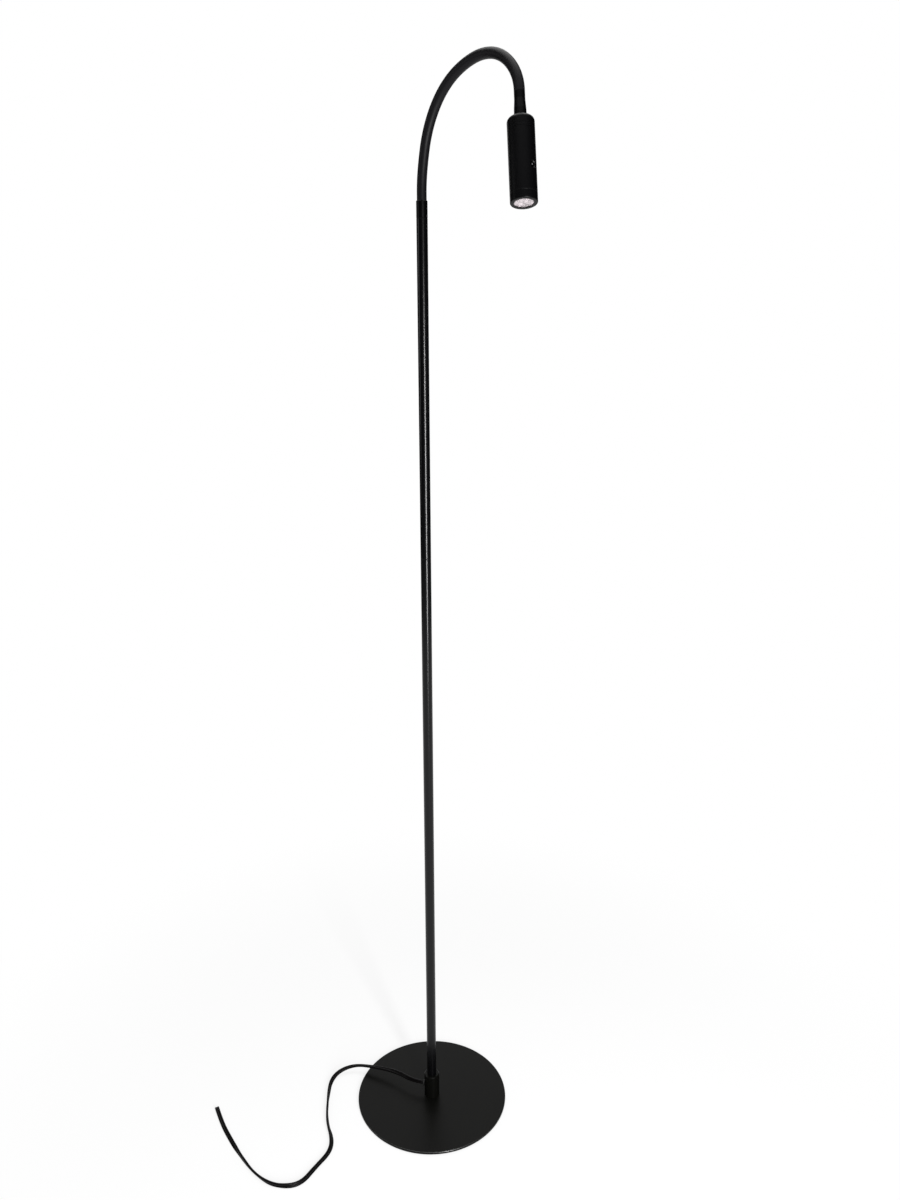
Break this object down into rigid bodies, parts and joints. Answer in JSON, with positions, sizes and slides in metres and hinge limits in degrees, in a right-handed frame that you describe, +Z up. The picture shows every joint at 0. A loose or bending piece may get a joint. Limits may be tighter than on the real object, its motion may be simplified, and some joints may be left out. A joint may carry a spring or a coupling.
{
  "type": "gooseneck reading floor lamp",
  "caption": "Slim black reading floor lamp: round flat foot, straight pole, flexible gooseneck bent over in an arch, and a small cylindrical spot head with a push button.",
  "frame": {"origin": "centre of the foot's underside, on the floor", "axes": "+Z up along the pole, +X the way the gooseneck arches over"},
  "size_m": [0.4406, 0.3904, 1.4561],
  "materials": {
    "black_powder_coat": "satin black powder coat",
    "black_pole_paint": "satin black paint",
    "black_ferrule": "matt black anodised",
    "neck_sleeve": "matt black sleeve",
    "head_black": "matt black anodised",
    "bezel_black": "fine matt black",
    "lens_clear": "clear faceted",
    "zinc_steel": "zinc plated",
    "bare_aluminium": "turned",
    "board_white": "solder mask",
    "board_green": "solder mask",
    "led_phosphor": "silicone",
    "coil_black": "ferrite",
    "can_silver": "sleeved can",
    "wire_sheath": "PVC",
    "cord_black": "satin PVC",
    "copper": "bare copper",
    "gland_black": "moulded",
    "pad_dark": "foam rubber",
    "button_black": "moulded"
  },
  "bodies": {
    "stand": {"base_plate": "black_powder_coat", "base_pad": "pad_dark", "base_screw": "zinc_steel", "base_collar": "black_powder_coat", "cable_gland": "gland_black", "collar_nipple": "zinc_steel", "lower_pole": "black_pole_paint", "lower_pole_foot_insert": "zinc_steel", "lower_pole_head_insert": "zinc_steel", "pole_nipple": "zinc_steel", "upper_pole_foot_insert": "zinc_steel", "upper_pole": "black_pole_paint", "upper_pole_head_insert": "zinc_steel", "neck_nipple": "zinc_steel", "neck_ferrule": "black_ferrule", "neck_root": "neck_sleeve", "pole_lead": "wire_sheath", "power_cord": "cord_black", "cord_cores": "copper"},
    "link_01": {"neck_link_01": "neck_sleeve"},
    "link_02": {"neck_link_02": "neck_sleeve"},
    "link_03": {"neck_link_03": "neck_sleeve"},
    "link_04": {"neck_link_04": "neck_sleeve"},
    "link_05": {"neck_link_05": "neck_sleeve"},
    "link_06": {"neck_link_06": "neck_sleeve"},
    "link_07": {"neck_link_07": "neck_sleeve"},
    "link_08": {"neck_link_08": "neck_sleeve"},
    "link_09": {"neck_link_09": "neck_sleeve"},
    "link_10": {"neck_link_10": "neck_sleeve"},
    "link_11": {"neck_link_11": "neck_sleeve"},
    "head": {"head_ferrule": "black_ferrule", "head_nut": "zinc_steel", "head_cap": "head_black", "head_tube": "head_black", "front_ring": "bezel_black", "lens": "lens_clear", "lens_holder": "bezel_black", "led_board": "board_white", "led_chip": "led_phosphor", "led_screws": "zinc_steel", "led_leads": "wire_sheath", "heat_sink": "bare_aluminium", "driver_board": "board_green", "driver_coil": "coil_black", "driver_capacitor": "can_silver", "head_leads": "wire_sheath", "switch_body": "button_black"},
    "button": {"switch_button": "button_black"}
  },
  "joints": [
    {"name": "sway_link_01", "type": "hinge", "parent": "stand", "child": "link_01", "pos_m": [0, 0, 1.317], "axis": [0.9994, -0.0352, 0], "range_deg": [-12, 12]},
    {"name": "lower_bend_link_02", "type": "hinge", "parent": "link_01", "child": "link_02", "pos_m": [0.00161, -0.00006, 1.34153], "axis": [0.0663, 0.9978, -0.0041], "range_deg": [-9.77, 5.86]},
    {"name": "lower_bend_link_03", "type": "hinge", "parent": "link_02", "child": "link_03", "pos_m": [0.00577, -0.00028, 1.36577], "axis": [0.0834, 0.9965, -0.0035], "range_deg": [-13.56, 8.14]},
    {"name": "sway_link_04", "type": "hinge", "parent": "link_03", "child": "link_04", "pos_m": [0.01316, -0.00078, 1.38919], "axis": [0.9174, -0.071, -0.3915], "range_deg": [-12.02, 12.02]},
    {"name": "lower_bend_link_05", "type": "hinge", "parent": "link_04", "child": "link_05", "pos_m": [0.02505, -0.00163, 1.41065], "axis": [0.084, 0.9964, -0.0075], "range_deg": [-19.3, 11.59]},
    {"name": "upper_bend_link_06", "type": "hinge", "parent": "link_05", "child": "link_06", "pos_m": [0.0416, -0.0029, 1.42871], "axis": [0.0927, 0.9955, -0.017], "range_deg": [-22.89, 1.14]},
    {"name": "sway_link_07", "type": "hinge", "parent": "link_06", "child": "link_07", "pos_m": [0.06234, -0.00465, 1.44168], "axis": [0.3993, -0.0824, -0.9131], "range_deg": [-12.02, 12.02]},
    {"name": "upper_bend_link_08", "type": "hinge", "parent": "link_07", "child": "link_08", "pos_m": [0.08568, -0.00692, 1.44893], "axis": [0.117, 0.9908, -0.0678], "range_deg": [-24.11, 1.22]},
    {"name": "upper_bend_link_09", "type": "hinge", "parent": "link_08", "child": "link_09", "pos_m": [0.10999, -0.00978, 1.44914], "axis": [0.1134, 0.9892, -0.0933], "range_deg": [-21.63, 1.1]},
    {"name": "upper_bend_link_10", "type": "hinge", "parent": "link_09", "child": "link_10", "pos_m": [0.13252, -0.01329, 1.44039], "axis": [0.0907, 0.9857, -0.1421], "range_deg": [-21.81, 1.11]},
    {"name": "upper_bend_link_11", "type": "hinge", "parent": "link_10", "child": "link_11", "pos_m": [0.15009, -0.01747, 1.42388], "axis": [0.0404, 0.9799, -0.1955], "range_deg": [-21.7, 1.1]},
    {"name": "upper_bend_head", "type": "hinge", "parent": "link_11", "child": "head", "pos_m": [0.16013, -0.02237, 1.40214], "axis": [0.0155, 0.9769, -0.2132], "range_deg": [-11.57, 0.6]},
    {"name": "push_button", "type": "slide", "parent": "head", "child": "button", "axis": [-0.9607, 0.1226, -0.249], "range_m": [0, 0.0012], "stiffness_N_per_m": 1200}
  ],
  "couplings": [
    {"joint": "lower_bend_link_03", "follows": "lower_bend_link_02", "ratio": 1.3857},
    {"joint": "sway_link_04", "follows": "sway_link_01", "ratio": 1},
    {"joint": "lower_bend_link_05", "follows": "lower_bend_link_02", "ratio": 1.9736},
    {"joint": "sway_link_07", "follows": "sway_link_01", "ratio": 1},
    {"joint": "upper_bend_link_08", "follows": "upper_bend_link_06", "ratio": 1.0525},
    {"joint": "upper_bend_link_09", "follows": "upper_bend_link_06", "ratio": 0.94439},
    {"joint": "upper_bend_link_10", "follows": "upper_bend_link_06", "ratio": 0.95216},
    {"joint": "upper_bend_link_11", "follows": "upper_bend_link_06", "ratio": 0.94751},
    {"joint": "upper_bend_head", "follows": "upper_bend_link_06", "ratio": 0.50465}
  ]
}
